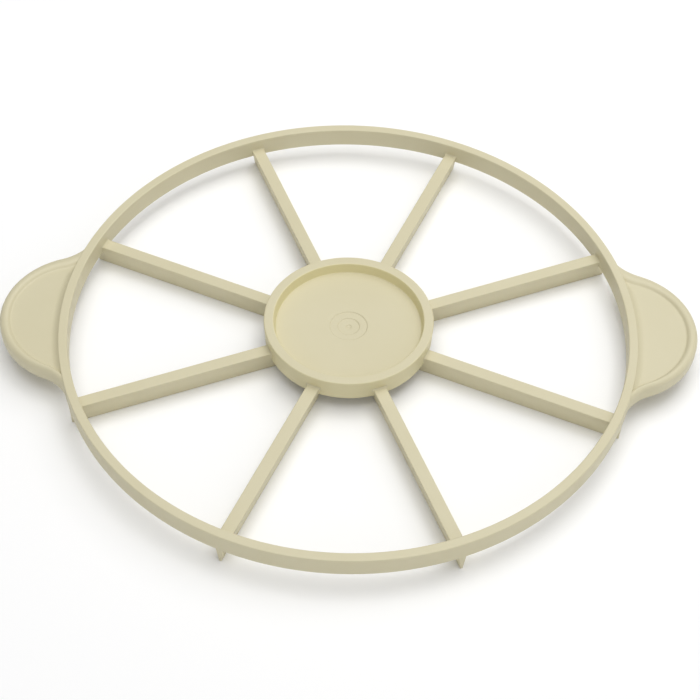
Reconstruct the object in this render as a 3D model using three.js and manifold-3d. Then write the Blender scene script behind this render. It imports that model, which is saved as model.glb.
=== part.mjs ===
// Cake portion marker: a one-piece plastic moulding that is pressed on a cake to mark equal slices.
// A round rim and a dished hub are tied by wedge-shaped spokes, points stand under the rim where
// the spokes end, and two half-moon handles stand out at the sides.
// Millimetres, +Z up. Z = 0 is the plane of the blade edges, X runs through the two handles.
import * as THREE from 'three';
import { mergeVertices } from 'three/addons/utils/BufferGeometryUtils.js';
import Module from 'manifold-3d';

// Rim
const rimOuterDiameter = 270;
const rimWidth = 4.4;
const rimHeight = 10;

// Hub, a shallow dish
const hubOuterDiameter = 79.6;
const hubWall = 4.6;
const hubDraft = 0.5;
const dishDepth = 5;
const floorThickness = 2.6;
const hubFoot = 3.4;
const dishFillet = 0.8;

// Gate mark in the middle of the dish: two shallow steps down and a small nub
const gateOuterRadius = 9.2;
const gateInnerRadius = 5.2;
const gateNubRadius = 1.2;
const gateStep = 0.3;

// Spokes: wedge blades with a flat top and a narrow flat edge. Where a blade ends under the rim it
// narrows to a point of pointTopWidth at the rim's outer foot.
const spokeCount = 8;
const bladeTopWidth = 6.3;
const bladeEdgeWidth = 1.2;
const bladeHeight = 12.4;
const bladeTopDrop = 6.1;
const pointTopWidth = 3.5;

// Handles: half-moon plates with a round outer edge and a lip round a shallow thumb recess.
// The lip's inner side is a round that ends in a straight slope, lipSlope degrees steep.
// The underside is cored out in the same way, which keeps the moulded wall even.
const handleRadius = 37.5;
const handleReach = 28.3;
const handleThickness = 9;
const handleDrop = 0.5;
const handleEdgeRadius = 2.8;
const lipInnerRadius = 2.4;
const lipSlope = 50;
const recessDepth = 1.5;
const coreDepth = 2;
const blendRadius = 22;

// Edge break on the moulding's outer corners, and the gap between neighbouring regions
const edgeBreak = 0.5;
const seam = 0.3;

// Facets
const rimFacets = 96;
const hubFacets = 72;
const handleFacets = 72;
const roundSteps = 4;

// Points closer than this are one point
const mergeDistance = 1e-4;

// Levels and radii that follow from the sizes above
const topZ = bladeHeight + bladeTopDrop;
const rimBottomZ = topZ - rimHeight;
const rimOuter = rimOuterDiameter / 2;
const rimInner = rimOuter - rimWidth;
const hubOuter = hubOuterDiameter / 2;
const hubInner = hubOuter - hubWall;
const floorTopZ = topZ - dishDepth;
const floorBottomZ = floorTopZ - floorThickness;
const hubBottomZ = floorBottomZ - hubFoot;
const handleTopZ = topZ - handleDrop;
const handleBottomZ = handleTopZ - handleThickness;
const handleRound = Math.min(handleEdgeRadius, handleThickness / 2);
const lipCrest = handleRadius - handleRound;
const recessZ = handleTopZ - recessDepth;
const coreZ = handleBottomZ + coreDepth;
const handleCentre = rimOuter + handleReach - handleRadius;

const wasm = await Module();
wasm.setup();

const ivory = { color: 0xd9d2b4, roughness: 0.48, metalness: 0 };

// Points of a round corner, from one angle to another in degrees, both ends included
function corner(x, y, radius, from, to) {
  const points = [];
  for (let i = 0; i <= roundSteps; i += 1) {
    const angle = THREE.MathUtils.degToRad(from + ((to - from) * i) / roundSteps);
    points.push(new THREE.Vector2(x + radius * Math.cos(angle), y + radius * Math.sin(angle)));
  }
  return points;
}

function point(x, y) {
  return new THREE.Vector2(x, y);
}

// Revolve of a closed outline of (radius, height) points about the Z axis.
// The outline runs anticlockwise. One that starts and ends on the axis is left open there.
function revolve(outline, facets) {
  const path = outline.filter((p, i) => i === 0 || p.distanceTo(outline[i - 1]) > mergeDistance);
  const onAxis = path[0].x === 0 && path.at(-1).x === 0;
  const loop = onAxis ? path : [...path, path[0]];
  const geometry = new THREE.LatheGeometry(loop, facets);
  return geometry.rotateX(Math.PI / 2);
}

// Straight bar: an outline of (sideways, height) points carried out along X
function bar(outline, startX, endX) {
  const shape = new THREE.Shape(outline);
  const geometry = new THREE.ExtrudeGeometry(shape, { depth: endX - startX, bevelEnabled: false });
  const sideways = new THREE.Vector3(0, 1, 0);
  const up = new THREE.Vector3(0, 0, 1);
  const along = new THREE.Vector3(1, 0, 0);
  geometry.applyMatrix4(new THREE.Matrix4().makeBasis(sideways, up, along));
  return geometry.translate(startX, 0, 0);
}

// Closed mesh to solid, for joins and cuts
function solid(geometry) {
  const plain = geometry.clone();
  plain.deleteAttribute('normal');
  plain.deleteAttribute('uv');
  const merged = mergeVertices(plain, mergeDistance);
  return new wasm.Manifold(
    new wasm.Mesh({
      numProp: 3,
      vertProperties: new Float32Array(merged.attributes.position.array),
      triVerts: new Uint32Array(merged.index.array),
    }),
  );
}

// Solid back to a mesh with flat-shaded faces
function meshOf(body) {
  const { vertProperties, triVerts } = body.getMesh();
  const geometry = new THREE.BufferGeometry();
  geometry.setAttribute('position', new THREE.BufferAttribute(vertProperties, 3));
  geometry.setIndex(new THREE.BufferAttribute(triVerts, 1));
  const flat = geometry.toNonIndexed();
  flat.computeVertexNormals();
  return flat;
}

const marker = new THREE.Group();

function place(name, geometry, turn = 0) {
  const mesh = new THREE.Mesh(geometry, new THREE.MeshStandardMaterial(ivory));
  mesh.name = name;
  mesh.rotation.z = turn;
  marker.add(mesh);
}

// Rim: upright band with broken edges
function rimBand() {
  const outline = [
    point(rimInner + edgeBreak, rimBottomZ),
    point(rimOuter - edgeBreak, rimBottomZ),
    point(rimOuter, rimBottomZ + edgeBreak),
    point(rimOuter, topZ - edgeBreak),
    point(rimOuter - edgeBreak, topZ),
    point(rimInner + edgeBreak, topZ),
    point(rimInner, topZ - edgeBreak),
    point(rimInner, rimBottomZ + edgeBreak),
  ];
  return revolve(outline, rimFacets);
}

// Radius of the hub's outer wall at a height: it leans in towards its foot so that it leaves the mould
function hubOuterAt(z) {
  return hubOuter - (hubDraft * (topZ - z)) / (topZ - hubBottomZ);
}

// Hub wall with the fillets, above and below, that carry it into the dish floor
function hubBand() {
  const foot = hubOuterAt(hubBottomZ);
  const ledge = hubInner - dishFillet;
  const footFillet = Math.min(dishFillet, hubFoot - edgeBreak);
  const outline = [
    point(hubInner + edgeBreak, hubBottomZ),
    point(foot - edgeBreak, hubBottomZ),
    point(foot, hubBottomZ + edgeBreak),
    point(hubOuter, topZ - edgeBreak),
    point(hubOuter - edgeBreak, topZ),
    point(hubInner + edgeBreak, topZ),
    point(hubInner, topZ - edgeBreak),
    ...corner(ledge, floorTopZ + dishFillet, dishFillet, 0, -90),
    ...corner(hubInner - footFillet, floorBottomZ - footFillet, footFillet, 90, 0),
    point(hubInner, hubBottomZ + edgeBreak),
  ];
  return revolve(outline, hubFacets);
}

// Dish floor with the gate mark sunk in its middle
function dishFloor() {
  const edge = hubInner - dishFillet - seam;
  const firstStepZ = floorTopZ - gateStep;
  const secondStepZ = firstStepZ - gateStep;
  const outline = [
    point(0, floorBottomZ),
    point(edge, floorBottomZ),
    point(edge, floorTopZ),
    point(gateOuterRadius, floorTopZ),
    point(gateOuterRadius, firstStepZ),
    point(gateInnerRadius, firstStepZ),
    point(gateInnerRadius, secondStepZ),
    point(gateNubRadius, secondStepZ),
    point(gateNubRadius, firstStepZ),
    point(0, firstStepZ),
  ];
  return revolve(outline, hubFacets);
}

// Half the blade's width at a height above its edge
function bladeHalfWidthAt(z) {
  return (bladeEdgeWidth + ((bladeTopWidth - bladeEdgeWidth) * z) / bladeHeight) / 2;
}

// How far a round wall falls back from a flat end of the given half width
function fallBack(radius, halfWidth) {
  return radius - Math.sqrt(radius ** 2 - halfWidth ** 2);
}

// Spoke: wedge blade from the hub to the rim. Its lower part runs on under the hub wall.
function spokeBlade() {
  const half = bladeTopWidth / 2;
  const shoulderZ = bladeHeight - edgeBreak;
  const shoulder = bladeHalfWidthAt(shoulderZ);
  const outline = [
    point(-bladeEdgeWidth / 2, 0),
    point(bladeEdgeWidth / 2, 0),
    point(shoulder, shoulderZ),
    point(half - edgeBreak, bladeHeight),
    point(edgeBreak - half, bladeHeight),
    point(-shoulder, shoulderZ),
  ];
  const hubFace = hubOuterAt(bladeHeight) + seam;
  const rimFace = rimInner - seam - fallBack(rimInner, half);
  const underHubZ = hubBottomZ - seam;
  const blade = bar(outline, hubInner, rimFace);
  const notch = bar(
    [
      point(-bladeTopWidth, underHubZ),
      point(bladeTopWidth, underHubZ),
      point(bladeTopWidth, topZ),
      point(-bladeTopWidth, topZ),
    ],
    hubInner - hubWall,
    hubFace,
  );
  return meshOf(solid(blade).subtract(solid(notch)));
}

// Point: the wedge's end under the rim, narrowing to the outside and flush with the rim's outer wall
function rimPoint() {
  const half = bladeHalfWidthAt(rimBottomZ);
  const outline = [
    point(-bladeEdgeWidth / 2, 0),
    point(bladeEdgeWidth / 2, 0),
    point(half, rimBottomZ),
    point(-half, rimBottomZ),
  ];
  const outerEnd = rimOuter - fallBack(rimOuter, pointTopWidth / 2);
  const geometry = bar(outline, rimInner, outerEnd);
  const position = geometry.attributes.position;
  for (let i = 0; i < position.count; i += 1) {
    if (position.getX(i) > (rimInner + outerEnd) / 2) {
      const z = position.getZ(i);
      const width = bladeEdgeWidth + ((pointTopWidth - bladeEdgeWidth) * z) / rimBottomZ;
      position.setY(i, (Math.sign(position.getY(i)) * width) / 2);
    }
  }
  geometry.computeVertexNormals();
  return geometry;
}

// Steepness in degrees at which the lip's inner round ends: a shallow hollow ends it sooner
function lipSlopeFor(depth) {
  const atDepth = Math.acos(Math.max(0, 1 - depth / lipInnerRadius));
  return Math.min(lipSlope, THREE.MathUtils.radToDeg(atDepth));
}

// How far in from its crest the lip's inner side reaches the floor of a hollow
function lipRun(depth) {
  const slope = THREE.MathUtils.degToRad(lipSlopeFor(depth));
  const roundDrop = lipInnerRadius * (1 - Math.cos(slope));
  return lipInnerRadius * Math.sin(slope) + (depth - roundDrop) / Math.tan(slope);
}

// Round plate of the handle before it is cut by the rim: a thin web inside a thick round edge
function handlePlate() {
  const outline = [
    point(0, coreZ),
    point(lipCrest - lipRun(coreDepth), coreZ),
    ...corner(lipCrest, handleBottomZ + lipInnerRadius, lipInnerRadius, 270 - lipSlopeFor(coreDepth), 270),
    ...corner(lipCrest, handleBottomZ + handleRound, handleRound, -90, 0),
    ...corner(lipCrest, handleTopZ - handleRound, handleRound, 0, 90),
    ...corner(lipCrest, handleTopZ - lipInnerRadius, lipInnerRadius, 90, 90 + lipSlopeFor(recessDepth)),
    point(lipCrest - lipRun(recessDepth), recessZ),
    point(0, recessZ),
  ];
  return solid(revolve(outline, handleFacets).translate(handleCentre, 0, 0));
}

// Concave blend that carries the handle's outline into the rim, on the +Y side or the -Y side.
// Its circle touches both the handle's circle and the rim's circle from outside, and the round
// edge of the handle runs on along it.
function handleBlend(side) {
  const toBlend = rimOuter + blendRadius;
  const across = handleRadius + blendRadius;
  const cosine = (handleCentre ** 2 + toBlend ** 2 - across ** 2) / (2 * handleCentre * toBlend);
  const sine = Math.sqrt(1 - cosine ** 2);
  const centre = point(toBlend * cosine, side * toBlend * sine);
  const underLip = point(handleCentre, 0).lerp(centre, lipCrest / across);
  const underRim = point(rimInner * cosine, side * rimInner * sine);
  const shape = new THREE.Shape([centre, underRim, underLip]);
  const block = new THREE.ExtrudeGeometry(shape, { depth: handleThickness, bevelEnabled: false });
  const flare = blendRadius + handleRound;
  const cutter = [
    point(0, handleBottomZ - handleRound),
    point(flare, handleBottomZ - handleRound),
    ...corner(flare, handleBottomZ + handleRound, handleRound, 270, 180),
    ...corner(flare, handleTopZ - handleRound, handleRound, 180, 90),
    point(flare, handleTopZ + handleRound),
    point(0, handleTopZ + handleRound),
  ];
  const hollow = revolve(cutter, handleFacets).translate(centre.x, centre.y, 0);
  return solid(block.translate(0, 0, handleBottomZ)).subtract(solid(hollow));
}

// Handle on the +X side: plate and blends, cut to the rim's outer wall
function handle() {
  const clear = rimOuter + seam;
  const below = handleBottomZ - handleRound;
  const above = handleTopZ + handleRound;
  const inside = [
    point(0, below),
    point(clear, below),
    point(clear, above),
    point(0, above),
  ];
  const whole = handlePlate().add(handleBlend(1)).add(handleBlend(-1));
  return meshOf(whole.subtract(solid(revolve(inside, rimFacets))));
}

place('rim', rimBand());
place('hub_wall', hubBand());
place('hub_floor', dishFloor());

// The handles stand halfway between two spokes
const sector = (2 * Math.PI) / spokeCount;
const firstTurn = sector / 2;
const blade = spokeBlade();
const pointUnderRim = rimPoint();
for (let i = 0; i < spokeCount; i += 1) {
  const turn = firstTurn + i * sector;
  place(`spoke_${i + 1}`, blade, turn);
  place(`point_${i + 1}`, pointUnderRim, turn);
}

const halfMoon = handle();
place('handle_right', halfMoon);
place('handle_left', halfMoon, Math.PI);

export default marker;
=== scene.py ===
# %% [markdown]
# # A cake portion marker in ivory plastic
#
# The real marker is one injection moulding: a rim, a dished hub, wedge-shaped blades between them
# and two half-moon handles. Its solids come in as a fixed frame with the real sizes. Here each
# form is built again with the round edges and fillets that a mould leaves, because those small
# radii are what catch the light and make plastic look like plastic.

# %% Load the solids
import math

import bmesh
import bpy
from mathutils import Matrix, Vector


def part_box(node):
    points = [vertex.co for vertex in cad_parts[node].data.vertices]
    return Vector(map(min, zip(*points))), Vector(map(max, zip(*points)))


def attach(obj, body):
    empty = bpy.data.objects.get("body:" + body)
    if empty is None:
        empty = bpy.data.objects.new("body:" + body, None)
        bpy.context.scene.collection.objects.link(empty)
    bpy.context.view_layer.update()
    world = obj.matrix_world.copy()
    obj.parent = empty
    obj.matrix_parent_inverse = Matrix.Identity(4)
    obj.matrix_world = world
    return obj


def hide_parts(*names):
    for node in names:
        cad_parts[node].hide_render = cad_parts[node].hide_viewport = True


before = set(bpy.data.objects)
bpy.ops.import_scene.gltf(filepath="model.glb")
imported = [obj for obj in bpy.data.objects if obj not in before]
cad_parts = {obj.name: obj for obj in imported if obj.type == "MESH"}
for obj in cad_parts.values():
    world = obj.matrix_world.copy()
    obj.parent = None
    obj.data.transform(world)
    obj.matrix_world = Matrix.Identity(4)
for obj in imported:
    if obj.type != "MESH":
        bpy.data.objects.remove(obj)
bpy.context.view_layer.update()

MM = 0.001


# %% [markdown]
# ## Sizes
#
# Everything below is worked out in millimetres. What the solids can tell, such as a radius or a
# level, is read from their boxes, so the looks follow the frame. Only what a box can't show, such
# as a wall or a small radius, is a named value.

# %% Read the main sizes from the solids
def span(node):
    """Lowest and highest corner of a solid, in millimetres."""
    low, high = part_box(node)
    return low / MM, high / MM


rim_low, rim_high = span("rim")
hub_low, hub_high = span("hub_wall")
floor_low, floor_high = span("hub_floor")
blade_low, blade_high = span("spoke_1")
handle_low, handle_high = span("handle_right")
BLADES = sum(name.startswith("spoke_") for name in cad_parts)
RIM_OUTER = rim_high.x
HUB_OUTER = hub_high.x
print("rim diameter", round(2 * RIM_OUTER, 1), "and hub diameter", round(2 * HUB_OUTER, 1))
print("blades:", BLADES)

# %% [markdown]
# ## Camera
#
# The photographed marker is seen from above its near edge. The view was found by fitting a camera
# to the edges of the rim and the hub, and it is kept as an elevation, a slight roll, a distance
# and a lens, aimed at a point in the plane of the rim's top.

# %% Set the camera
CAMERA_ELEVATION = math.radians(49.33)
CAMERA_AZIMUTH = math.radians(0.23)
CAMERA_ROLL = math.radians(1.55)
CAMERA_DISTANCE = 763.1
CAMERA_AIM = Vector((1.04, -19.41, rim_high.z))
CAMERA_LENS = 85.35

back = Vector((
    math.sin(CAMERA_AZIMUTH) * math.cos(CAMERA_ELEVATION),
    -math.cos(CAMERA_AZIMUTH) * math.cos(CAMERA_ELEVATION),
    math.sin(CAMERA_ELEVATION),
))
camera_data = bpy.data.cameras.new("camera")
camera_data.lens = CAMERA_LENS
camera = bpy.data.objects.new("camera", camera_data)
bpy.context.scene.collection.objects.link(camera)
aim = (-back).to_track_quat("-Z", "Y").to_matrix().to_4x4()
place = Matrix.Translation((CAMERA_AIM + back * CAMERA_DISTANCE) * MM)
camera.matrix_world = place @ aim @ Matrix.Rotation(CAMERA_ROLL, 4, "Z")
bpy.context.scene.camera = camera
print("camera at", [round(x, 3) for x in camera.location])

# %% [markdown]
# ## The plastic
#
# Such markers are moulded in polypropylene, coloured ivory all through. The mould is made by
# spark erosion, which leaves a very fine even grain, so the plastic is satin: it shows broad soft
# sheen and no sharp mirror image. Polypropylene has an index of refraction of about 1.49. A
# Principled shader holds all of that. The colour drifts a little over a few centimetres where the
# melt flowed, and handling has scuffed the sheen in patches. Shade is painted into the inside
# corners, which are darkened. Where a mesh marks the walls of the hub's ring, light is painted in:
# the colour is lighter and warmer there.

# %% Colour and node helpers
def linear(code):
    """sRGB hex colour as the linear colour that shaders take."""
    channels = [int(code[i:i + 2], 16) / 255 for i in (1, 3, 5)]
    return [c / 12.92 if c <= 0.04045 else ((c + 0.055) / 1.055) ** 2.4 for c in channels] + [1.0]


def add_node(tree, kind, inputs=None, **settings):
    """Adds a node, sets its properties, and fills or links its inputs."""
    made = tree.nodes.new(kind)
    for name, value in settings.items():
        setattr(made, name, value)
    for name, value in (inputs or {}).items():
        if isinstance(value, bpy.types.NodeSocket):
            tree.links.new(value, made.inputs[name])
        else:
            made.inputs[name].default_value = value
    return made


def per_metre(size):
    """Texture scale for a pattern whose features are this many millimetres across."""
    return 1 / (size * MM)


# %% Patterns in the plastic
# Sizes in millimetres, each with the detail of its noise
DRIFT, DRIFT_DETAIL = 26.0, 3.0
SCUFF, SCUFF_DETAIL = 5.0, 6.0
GRAIN, GRAIN_DETAIL = 0.9, 2.0  # the real grain is about 0.05 mm, drawn coarser so that it shows

plastic = bpy.data.materials.new("ivory_moulded_polypropylene")
plastic.use_nodes = True
tree = plastic.node_tree
tree.nodes.clear()
where = add_node(tree, "ShaderNodeTexCoord").outputs["Object"]
drift, scuff, grain = [
    add_node(tree, "ShaderNodeTexNoise", {
        "Vector": where, "Scale": per_metre(size), "Detail": detail,
    })
    for size, detail in ((DRIFT, DRIFT_DETAIL), (SCUFF, SCUFF_DETAIL), (GRAIN, GRAIN_DETAIL))
]
print("patterns in mm: drift", DRIFT, "scuffs", SCUFF, "grain", GRAIN)

# %% Colour of the plastic
IVORY = linear("#d1caac")
IVORY_DEEP = linear("#ccc4a3")
# Painted light: a lighter, warmer colour that is painted where a mesh marks the walls of the hub's
# ring
RING_PAINTED_LIGHT = linear("#e0d7a8")
PAINTED_LIGHT_VALUE = "ring_painted_light"  # the value that a mesh carries where light comes through
# Painted shade: inside corners are darkened towards this colour, the more the more enclosed they
# are
CORNER_SHADE = linear("#bbaf85")
# How far the painted corner shade looks for other faces in millimetres, and how open a corner is
# where the painted shade starts and where it is at its most
SHADE_REACH, SHADE_RAYS = 1.5, 8
SHADE_START, SHADE_FULL, SHADE_MOST = 0.4, 0.1, 0.25
# Numbers of the sockets of a Mix node that mixes colours
SHARE, COLOUR_A, COLOUR_B, MIXED = 0, 6, 7, 2

flow = add_node(tree, "ShaderNodeMix", {
    SHARE: drift.outputs[0], COLOUR_A: IVORY, COLOUR_B: IVORY_DEEP,
}, data_type="RGBA")
# Painted light: the colour is mixed towards the lighter, warmer one by the value on the mesh's
# points
painted_light = add_node(tree, "ShaderNodeAttribute", attribute_name=PAINTED_LIGHT_VALUE)
lit = add_node(tree, "ShaderNodeMix", {
    SHARE: painted_light.outputs["Fac"], COLOUR_A: flow.outputs[MIXED], COLOUR_B: RING_PAINTED_LIGHT,
}, data_type="RGBA")
# Painted shade: the colour is darkened towards the corner shade where other faces are near
corner = add_node(tree, "ShaderNodeAmbientOcclusion", {
    "Distance": SHADE_REACH * MM,
}, samples=SHADE_RAYS)
corner_shade_share = add_node(tree, "ShaderNodeMapRange", {
    "Value": corner.outputs["AO"],
    "From Min": SHADE_START, "From Max": SHADE_FULL, "To Min": 0.0, "To Max": SHADE_MOST,
})
colour = add_node(tree, "ShaderNodeMix", {
    SHARE: corner_shade_share.outputs[0], COLOUR_A: lit.outputs[MIXED], COLOUR_B: CORNER_SHADE,
}, data_type="RGBA")
print("ivory in linear light:", [round(c, 3) for c in IVORY[:3]])

# %% Sheen and grain of the plastic
SCUFF_FROM, SCUFF_TO = 0.3, 0.7
ROUGH_SHINY, ROUGH_SCUFFED = 0.42, 0.54
GRAIN_DEPTH, GRAIN_STRENGTH = 0.05, 0.2
PLASTIC_IOR = 1.49

rough = add_node(tree, "ShaderNodeMapRange", {
    "Value": scuff.outputs[0],
    "From Min": SCUFF_FROM, "From Max": SCUFF_TO, "To Min": ROUGH_SHINY, "To Max": ROUGH_SCUFFED,
})
bump = add_node(tree, "ShaderNodeBump", {
    "Strength": GRAIN_STRENGTH, "Distance": GRAIN_DEPTH * MM, "Height": grain.outputs[0],
})
shader = add_node(tree, "ShaderNodeBsdfPrincipled", {
    "Base Color": colour.outputs[MIXED],
    "Roughness": rough.outputs[0],
    "Normal": bump.outputs[0],
    "IOR": PLASTIC_IOR,
})
add_node(tree, "ShaderNodeOutputMaterial", {"Surface": shader.outputs[0]})
print("material:", plastic.name, "with", len(tree.nodes), "nodes")

# %% [markdown]
# ## From points to a piece
#
# All the forms are either turned about the middle or carried along a line, so plain lists of
# points are enough. One function rounds the corners of an outline, one turns it and one skins a
# row of sections. A last one makes the mesh object, smooths it and ties it to the frame. Weighted
# normals keep the flat faces flat beside their small round edges.

# %% Round the corners of an outline
ARC_STEPS = 6


def rounded(corners):
    """Closed outline through (x, y, radius) corners, each one turned into an arc of its radius."""
    points = []
    for i, (x, y, radius) in enumerate(corners):
        here = Vector((x, y))
        if radius == 0:
            points.append(here)
            continue
        before = (Vector(corners[i - 1][:2]) - here).normalized()
        after = (Vector(corners[(i + 1) % len(corners)][:2]) - here).normalized()
        half = before.angle(after) / 2
        centre = here + (before + after).normalized() * radius / math.sin(half)
        start = here + before * radius / math.tan(half) - centre
        end = here + after * radius / math.tan(half) - centre
        turn = math.atan2(start.cross(end), start.dot(end))
        for k in range(ARC_STEPS + 1):
            points.append(centre + Matrix.Rotation(turn * k / ARC_STEPS, 2) @ start)
    return points


# %% Turn an outline
def turned(outline, facets):
    """Points and faces of a closed outline of (radius, height) points turned about the Z axis."""
    points, rings, faces = [], [], []
    for radius, height in outline:
        count = facets if radius > 0 else 1
        first = len(points)
        for i in range(count):
            angle = 2 * math.pi * i / count
            points.append((radius * math.cos(angle), radius * math.sin(angle), height))
        rings.append([first + i % count for i in range(facets + 1)])
    for ring, following in zip(rings, rings[1:] + rings[:1]):
        for i in range(facets):
            face = list(dict.fromkeys((ring[i], following[i], following[i + 1], ring[i + 1])))
            if len(face) > 2:
                faces.append(face)
    return points, faces


# %% Skin a row of sections
def skinned(sections):
    """Points and faces of closed sections in a row, capped at both ends.

    All the sections have the same number of points."""
    points = [p for section in sections for p in section]
    count = len(sections[0])
    faces = [list(range(count)), list(range(len(points) - count, len(points)))]
    for row in range(len(sections) - 1):
        for i in range(count):
            a, b = row * count + i, row * count + (i + 1) % count
            faces.append([a, b, b + count, a + count])
    return points, faces


# %% Mesh object on the frame
SHARP_ANGLE = math.radians(50)


def piece(name, points, faces, *nodes):
    """Mesh object in the marker's plastic that rides on the part and stands for some solids."""
    mesh = bpy.data.meshes.new(name)
    mesh.from_pydata([Vector(p) * MM for p in points], [], faces)
    shape = bmesh.new()
    shape.from_mesh(mesh)
    bmesh.ops.recalc_face_normals(shape, faces=shape.faces)
    shape.to_mesh(mesh)
    shape.free()
    mesh.shade_smooth()
    mesh.set_sharp_from_angle(angle=SHARP_ANGLE)
    mesh.materials.append(plastic)
    made = bpy.data.objects.new(name, mesh)
    bpy.context.scene.collection.objects.link(made)
    made.modifiers.new("even_shading", "WEIGHTED_NORMAL").keep_sharp = True
    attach(made, "root")
    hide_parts(*nodes)
    print(name, "stands for", ", ".join(nodes), "with", len(mesh.polygons), "faces")
    return made


# %% [markdown]
# ## Rim
#
# The rim is an upright band. A torus would be too round and a plain cylinder too sharp, so a
# rectangle with small round corners is turned about the middle.

# %% Turn the rim
RIM_WIDTH = 4.4
RIM_EDGE = 0.6
RIM_FACETS = 288
RIM_INNER = RIM_OUTER - RIM_WIDTH

rim_outline = rounded([
    (RIM_INNER, rim_low.z, RIM_EDGE),
    (RIM_OUTER, rim_low.z, RIM_EDGE),
    (RIM_OUTER, rim_high.z, RIM_EDGE),
    (RIM_INNER, rim_high.z, RIM_EDGE),
])
piece("rim_band", *turned(rim_outline, RIM_FACETS), "rim")

# %% [markdown]
# ## Hub
#
# The hub is a shallow dish: a ring whose faces lean a little so that it leaves the mould, a thin
# floor with soft fillets, and the gate mark where the plastic ran in. It is all one turned
# outline, so that the fillets run into the floor with no seam.

# %% Turn the hub
HUB_WALL = 4.6
HUB_DRAFT = 0.5
HUB_EDGE = 0.6
DISH_DRAFT = 0.9
DISH_FILLET = 0.5
GATE_OUTER = 8.6
GATE_INNER = 4.9
GATE_PIT = 1.0
GATE_STEP = 0.4
GATE_SLOPE = 0.4
GATE_EDGE = 0.6
GATE_FOOT = 0.1
HUB_FACETS = 192
HUB_INNER = HUB_OUTER - HUB_WALL

hub_outline = [
    Vector((0, floor_low.z)),
    *rounded([
        (HUB_INNER, floor_low.z, DISH_FILLET),
        (HUB_INNER, hub_low.z, HUB_EDGE),
        (HUB_OUTER - HUB_DRAFT, hub_low.z, HUB_EDGE),
        (HUB_OUTER, hub_high.z, HUB_EDGE),
        (HUB_INNER, hub_high.z, HUB_EDGE),
        (HUB_INNER - DISH_DRAFT, floor_high.z, DISH_FILLET),
        (GATE_OUTER + GATE_SLOPE, floor_high.z, GATE_EDGE),
        (GATE_OUTER, floor_high.z - GATE_STEP, GATE_FOOT),
        (GATE_INNER + GATE_SLOPE, floor_high.z - GATE_STEP, GATE_EDGE),
        (GATE_INNER, floor_high.z - 2 * GATE_STEP, GATE_FOOT),
        (GATE_PIT + GATE_SLOPE, floor_high.z - 2 * GATE_STEP, GATE_EDGE),
        (GATE_PIT, floor_high.z - 3 * GATE_STEP, GATE_FOOT),
        (0, floor_high.z - 3 * GATE_STEP, 0),
        (0, floor_low.z, 0),
    ])[:-1],
]
hub = piece("hub_dish", *turned(hub_outline, HUB_FACETS), "hub_wall", "hub_floor")

# %% [markdown]
# ## Painted light on the hub's ring
#
# The plastic lets a little light through, which makes the walls of the hub's ring lighter and
# warmer. Scattering under the skin would be the full way, but it needs one closed skin, and these
# pieces run into each other. So that light is painted into the colour: each point of the mesh
# carries a value that the plastic reads, full on the upright wall of the dish, half on the outside
# of the ring, and zero on level faces.

# %% Mark the walls of the ring for painted light
DISH_PAINTED_LIGHT = 1.0
OUTSIDE_PAINTED_LIGHT = 0.5

# Share of painted light on each point of the hub
shares = hub.data.attributes.new(PAINTED_LIGHT_VALUE, "FLOAT", "POINT")
for point, share in zip(hub.data.vertices, shares.data):
    outward = Vector((point.co.x, point.co.y, 0)).normalized().dot(point.normal)
    if outward > 0:
        share.value = OUTSIDE_PAINTED_LIGHT * outward
    elif point.co.z > floor_high.z * MM:
        share.value = -DISH_PAINTED_LIGHT * outward
print("points that show light:", sum(share.value > 0 for share in shares.data))

# %% [markdown]
# ## Blades
#
# Each blade is a wedge with a flat top and a narrow marking edge. It starts inside the hub's
# wall, runs on under the rim and narrows to a point there. A moulder never leaves a sharp inside
# corner, so the wedge swells into a small fillet where it meets the hub and the rim, above the
# foot of each wall. The section is the same all along, so a row of sections is skinned, with a
# few more of them in the fillets and at the round end of the point.

# %% Section of a blade
BLADE_TOP = 6.3
BLADE_EDGE = 1.2
BLADE_EDGE_ROUND = 0.3
BLADE_TOP_ROUND = 0.5
BLADE_FILLET = 0.7
POINT_TOP = 3.5
POINT_ROUND = 0.4
TUCK = 0.3


def wedge(swell, foot, width=None):
    """Section of the blade as (sideways, height) points, swollen above the foot of a wall.

    The width at that foot follows from the wedge where none is given."""
    rise = (foot - blade_low.z) / (blade_high.z - blade_low.z)
    at_foot = (width or BLADE_EDGE + (BLADE_TOP - BLADE_EDGE) * rise) / 2
    half = [
        (BLADE_EDGE / 2, blade_low.z, BLADE_EDGE_ROUND),
        (at_foot, foot, 0),
        (BLADE_TOP / 2, blade_high.z, BLADE_TOP_ROUND),
    ]
    outline = rounded(half + [(-y, z, radius) for y, z, radius in reversed(half)])
    section = []
    for y, z in outline:
        share = min(1, max(0, z - foot) / BLADE_FILLET)
        lift = swell if z > blade_high.z - BLADE_TOP_ROUND else 0
        section.append((y + math.copysign(swell * share, y), z + lift))
    return section


# %% Fillets and round end of a blade
def fillet_rows(wall, direction, foot):
    """Rows of a blade's fillet as (distance out, section), from the wall outwards."""
    rows = []
    for k in range(ARC_STEPS + 1):
        angle = math.pi / 2 * k / ARC_STEPS
        reach = wall + direction * BLADE_FILLET * (1 - math.cos(angle))
        rows.append((reach, wedge(BLADE_FILLET * (1 - math.sin(angle)), foot)))
    return rows


def end_rows(end):
    """Rows of the point's round end as (distance out, section), drawn in on all sides."""
    rows = []
    section = wedge(0, rim_low.z, POINT_TOP)
    for k in range(ARC_STEPS + 1):
        angle = math.pi / 2 * k / ARC_STEPS
        inset = POINT_ROUND * (1 - math.cos(angle))
        drawn_in = [
            (y - math.copysign(min(inset, abs(y)), y), max(z, blade_low.z + inset))
            for y, z in section
        ]
        rows.append((end - POINT_ROUND * (1 - math.sin(angle)), drawn_in))
    return rows


# %% Skin the blades
BLADE_SHIFT = 0.5  # in steps from blade to blade, so that a gap faces each handle

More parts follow.
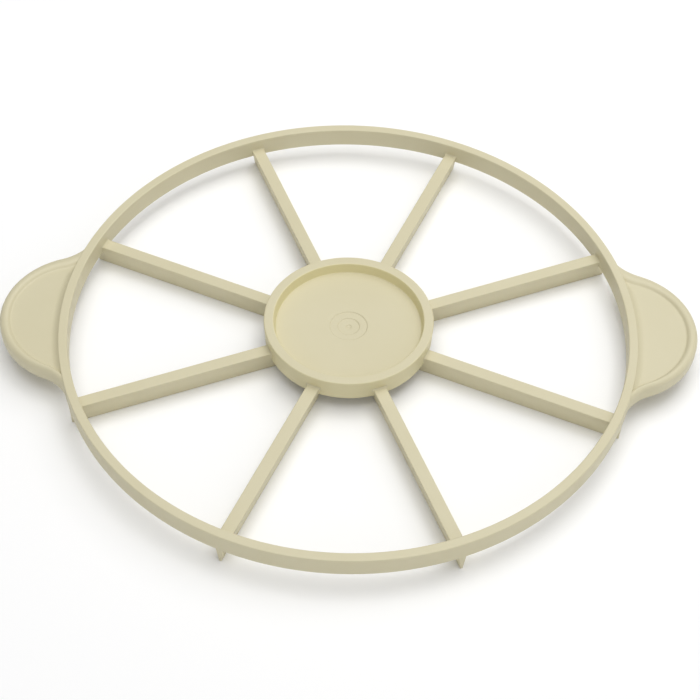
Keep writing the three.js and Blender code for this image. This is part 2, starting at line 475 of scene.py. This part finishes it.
blade_rows = [
    (HUB_INNER + TUCK, wedge(BLADE_FILLET, hub_low.z)),
    *fillet_rows(HUB_OUTER - HUB_DRAFT / 2, 1, hub_low.z),
    *reversed(fillet_rows(RIM_INNER, -1, rim_low.z)),
    *end_rows(RIM_OUTER - TUCK / 2),
]
for number in range(1, BLADES + 1):
    turn = Matrix.Rotation(2 * math.pi * (number - BLADE_SHIFT) / BLADES, 3, "Z")
    sections = [[turn @ Vector((out, y, z)) for y, z in section] for out, section in blade_rows]
    piece(f"blade_{number}", *skinned(sections), f"spoke_{number}", f"point_{number}")

# %% [markdown]
# ## Handles
#
# A handle is a thin web inside a thick round lip. In plan the lip follows a circle and then
# swings out along a smaller circle that touches the rim, so that no corner is left. Sculpting
# that by hand would be slow, but seen along the outline the lip's section hardly changes: it only
# grows wider towards the far end and narrower towards the near end. So the section is carried
# along the outline and its ends are hidden inside the rim. The web closes it above and below, and
# a soft ramp carries the web up to the rim's top.

# %% Circles of the handle's plan
HANDLE_RADIUS = 37.5
BLEND_RADIUS = 22.0
BLEND_SINK = 0.12  # how far the smaller circle cuts into the rim

handle_centre = handle_high.x - HANDLE_RADIUS
to_blend = RIM_OUTER - BLEND_SINK + BLEND_RADIUS
across = HANDLE_RADIUS + BLEND_RADIUS
cosine = (handle_centre ** 2 + to_blend ** 2 - across ** 2) / (2 * handle_centre * to_blend)
rim_angle = math.acos(cosine)
blend_centre = Vector((to_blend * cosine, to_blend * math.sin(rim_angle)))
lip_angle = math.atan2(blend_centre.y, blend_centre.x - handle_centre)
print("angle in degrees from the handle's tip to the rim:", round(math.degrees(rim_angle), 1))

# %% Outline of the handle in plan
RIM_HIDE = RIM_WIDTH / 2
HIDDEN_RADIUS = RIM_OUTER - RIM_HIDE
BLEND_STEPS = 14
LIP_STEPS = 64
LIP_LEAN = 0.35  # share by which the lip is wider at its far end and narrower at the near one


def toward(angle):
    """Step of length 1 in plan at an angle."""
    return Vector((math.cos(angle), math.sin(angle)))


def blend_end(inset):
    """Angle about the blend's centre where the outline, moved in by inset, ends inside the rim."""
    radius = BLEND_RADIUS + inset
    if inset >= RIM_HIDE:
        bend = (to_blend ** 2 + radius ** 2 - HIDDEN_RADIUS ** 2) / (2 * to_blend * radius)
        return rim_angle + math.pi + math.acos(bend)
    return rim_angle + math.pi


def plan(inset, lean):
    """Outline of half of the handle, moved in by inset, from its tip to inside the rim.

    Towards the rim the lean makes the inset larger or smaller."""
    points = []
    for k in range(LIP_STEPS // 2):
        share = k / (LIP_STEPS // 2)
        radius = HANDLE_RADIUS - inset * (1 + lean * share ** 2)
        points.append(Vector((handle_centre, 0)) + toward(lip_angle * share) * radius)
    inset *= 1 + lean
    first, last = lip_angle + math.pi, blend_end(inset)
    for k in range(BLEND_STEPS + 1):
        angle = first + (last - first) * k / BLEND_STEPS
        points.append(blend_centre + toward(angle) * (BLEND_RADIUS + inset))
    points.append(points[-1].normalized() * (HIDDEN_RADIUS - TUCK))
    return points


# %% Section of the lip
LIP_OUTER_ROUND = 2.8
LIP_INNER_ROUND = 2.4
LIP_SLOPE = math.radians(50)
LIP_FOOT = 1.2
RECESS = 1.5
CORE = 2.0
WEB_RUN = 2.0
SAME_PLACE = 0.001  # neighbours nearer than this are one point

crest = LIP_OUTER_ROUND + LIP_INNER_ROUND * math.tan(LIP_SLOPE / 2)
upper = handle_high.z - RECESS
lower = handle_low.z + CORE
upper_foot = crest + RECESS / math.tan(LIP_SLOPE)
lower_foot = crest + CORE / math.tan(LIP_SLOPE)
lip_section = rounded([
    (lower_foot + WEB_RUN, upper, 0),
    (upper_foot, upper, LIP_FOOT),
    (crest, handle_high.z, LIP_INNER_ROUND),
    (0, handle_high.z, LIP_OUTER_ROUND),
    (0, handle_low.z, LIP_OUTER_ROUND),
    (crest, handle_low.z, LIP_INNER_ROUND),
    (lower_foot, lower, LIP_FOOT),
    (lower_foot + WEB_RUN, lower, 0),
])
neighbours = zip(lip_section[-1:] + lip_section, lip_section)
lip_section = [here for before, here in neighbours if (here - before).length > SAME_PLACE]
print("lip section:", len(lip_section), "points")

# %% Soft ramp between the web and the rim
RAMP_RUN = 3.4
RAMP_SINK = 0.1
RAMP_STEPS = 14
RAMP_END = 0.12  # share of its height and width that is left at its two ends
RAMP_FADE = 0.15  # share of its length over which it grows to full size
RAMP_TAIL = 5.0


def ease(share):
    """Smooth step from 0 to 1."""
    share = min(1, max(0, share))
    return share * share * (3 - 2 * share)


def rim_ramp(first, last):
    """Points and faces of the ramp along the rim between two angles, with a tail beyond each.

    It ends just below the rim's top. Its two ends sink, narrow and are hidden in the lip."""
    tail = RAMP_TAIL / RIM_OUTER
    top = RIM_OUTER - RIM_EDGE / 2
    sections = []
    for k in range(LIP_STEPS + 1):
        angle = first - tail + (last - first + 2 * tail) * k / LIP_STEPS
        part = RAMP_END + (1 - RAMP_END) * ease(min(k, LIP_STEPS - k) / (LIP_STEPS * RAMP_FADE))
        rise = part * (rim_high.z - RAMP_SINK - upper)
        run = part * RAMP_RUN + RIM_OUTER - top
        outline = [(top, upper - TUCK), (top + run, upper - TUCK)]
        for step in range(RAMP_STEPS + 1):
            share = step / RAMP_STEPS
            outline.append((top + run * (1 - share), upper + rise * share ** 2))
        sections.append([
            Vector((out * math.cos(angle), out * math.sin(angle), z)) for out, z in outline
        ])
    return skinned(sections)


# %% Skin the handles
def angle_of(point):
    """Angle of a point in plan, about the middle of the marker."""
    return math.atan2(point.y, point.x)


def handle(name, side, node):
    """Lip carried round the plan, with the web's two faces and a back wall inside the rim.

    The side is 1 for the right handle and -1 for its mirror image."""
    rows = []
    for inset, z in lip_section:
        near = [Vector((p.x, -p.y, z)) for p in plan(inset, -LIP_LEAN)]
        far = [Vector((p.x, p.y, z)) for p in plan(inset, LIP_LEAN)]
        rows.append([*reversed(near[1:]), *far])
    stations = len(rows[0])
    points = [p for row in rows for p in row]
    faces = []
    for row in range(len(rows) - 1):
        for i in range(stations - 1):
            a = row * stations + i
            faces.append([a, a + 1, a + 1 + stations, a + stations])
    backs = []
    for row in (0, len(rows) - 1):
        start, stop = angle_of(rows[row][-1]), angle_of(rows[row][0])
        first = len(points)
        for k in range(1, LIP_STEPS):
            angle = start + (stop - start) * k / LIP_STEPS
            x, y = toward(angle) * (HIDDEN_RADIUS - TUCK)
            points.append(Vector((x, y, rows[row][0].z)))
        inner = list(range(first, len(points)))
        edge = list(range(row * stations, (row + 1) * stations))
        faces.append(edge + inner)
        backs.append([edge[-1], *inner, edge[0]])
    for i in range(LIP_STEPS):
        faces.append([backs[0][i], backs[0][i + 1], backs[1][i + 1], backs[1][i]])
    for end in (0, stations - 1):
        faces.append([row * stations + end for row in range(len(rows))])
    ramp_points, ramp_faces = rim_ramp(angle_of(rows[0][0]), angle_of(rows[0][-1]))
    faces += [[i + len(points) for i in face] for face in ramp_faces]
    points += ramp_points
    return piece(name, [(side * p.x, p.y, p.z) for p in points], faces, node)


handle("grip_right", 1, "handle_right")
handle("grip_left", -1, "handle_left")

# %% [markdown]
# ## Floor and light
#
# The marker lies on its blade edges on a plain white sheet, as on a photographer's table. A bare
# lamp would throw hard shadows through the gaps, so one large soft box hangs straight above and a
# white room fills the rest. The tops face the box and come out brightest. A wall gets only what
# comes from the room and the sheet, so it is a third darker. The room is dim on the left and a
# little brighter on the near side, so the walls that face left are the darkest, and a small box
# at the far right gives the rounds a bright side.

# %% Floor
FLOOR_SIZE = 14000.0
PAPER_WHITE = linear("#fbfbfb")
PAPER_ROUGHNESS = 0.9

half = FLOOR_SIZE / 2 * MM
floor_corners = [(-half, -half, 0), (half, -half, 0), (half, half, 0), (-half, half, 0)]
floor_mesh = bpy.data.meshes.new("floor")
floor_mesh.from_pydata(floor_corners, [], [[0, 1, 2, 3]])
floor = bpy.data.objects.new("floor", floor_mesh)
bpy.context.scene.collection.objects.link(floor)
paper = bpy.data.materials.new("matt_white_paper")
paper.use_nodes = True
paper_shader = paper.node_tree.nodes["Principled BSDF"]
paper_shader.inputs["Base Color"].default_value = PAPER_WHITE
paper_shader.inputs["Roughness"].default_value = PAPER_ROUGHNESS
floor_mesh.materials.append(paper)
print("floor:", paper.name, "with sides of", FLOOR_SIZE, "mm")

# %% Soft boxes
# Place and size in millimetres, and power in watts
OVERHEAD_BOX = (0, 0, 1700), 1500, 14.3
FAR_RIGHT_BOX = (300, 400, 900), 800, 3.2


def softbox(name, spot, size, watts):
    """Square area light at a spot, aimed at the marker."""
    data = bpy.data.lights.new(name, "AREA")
    data.size = size * MM
    data.energy = watts
    lamp = bpy.data.objects.new(name, data)
    lamp.location = Vector(spot) * MM
    lamp.rotation_euler = (-lamp.location).to_track_quat("-Z", "Y").to_euler()
    bpy.context.scene.collection.objects.link(lamp)


softbox("overhead_box", *OVERHEAD_BOX)
softbox("far_right_box", *FAR_RIGHT_BOX)

# %% Room
ROOM_WHITE = (1, 1, 1, 1)
ROOM_STRENGTH = 0.53
LEFT_LOSS = 0.65
NEAR_GAIN = 0.4

room = bpy.data.worlds.new("white_room")
room.use_nodes = True
room_tree = room.node_tree
background = room_tree.nodes["Background"]
background.inputs["Color"].default_value = ROOM_WHITE
direction = add_node(room_tree, "ShaderNodeTexCoord").outputs["Generated"]
axes = add_node(room_tree, "ShaderNodeSeparateXYZ", {"Vector": direction})
leftness = add_node(room_tree, "ShaderNodeMath", {
    0: axes.outputs["X"], 1: 0.0,
}, operation="MINIMUM")
dimmed = add_node(room_tree, "ShaderNodeMath", {
    0: leftness.outputs[0], 1: LEFT_LOSS * ROOM_STRENGTH, 2: ROOM_STRENGTH,
}, operation="MULTIPLY_ADD")
strength = add_node(room_tree, "ShaderNodeMath", {
    0: axes.outputs["Y"], 1: -NEAR_GAIN * ROOM_STRENGTH, 2: dimmed.outputs[0],
}, operation="MULTIPLY_ADD")
room_tree.links.new(strength.outputs[0], background.inputs["Strength"])
bpy.context.scene.world = room
bpy.context.scene.view_settings.view_transform = "Standard"
print("room:", room.name, "with", len(room_tree.nodes), "nodes")
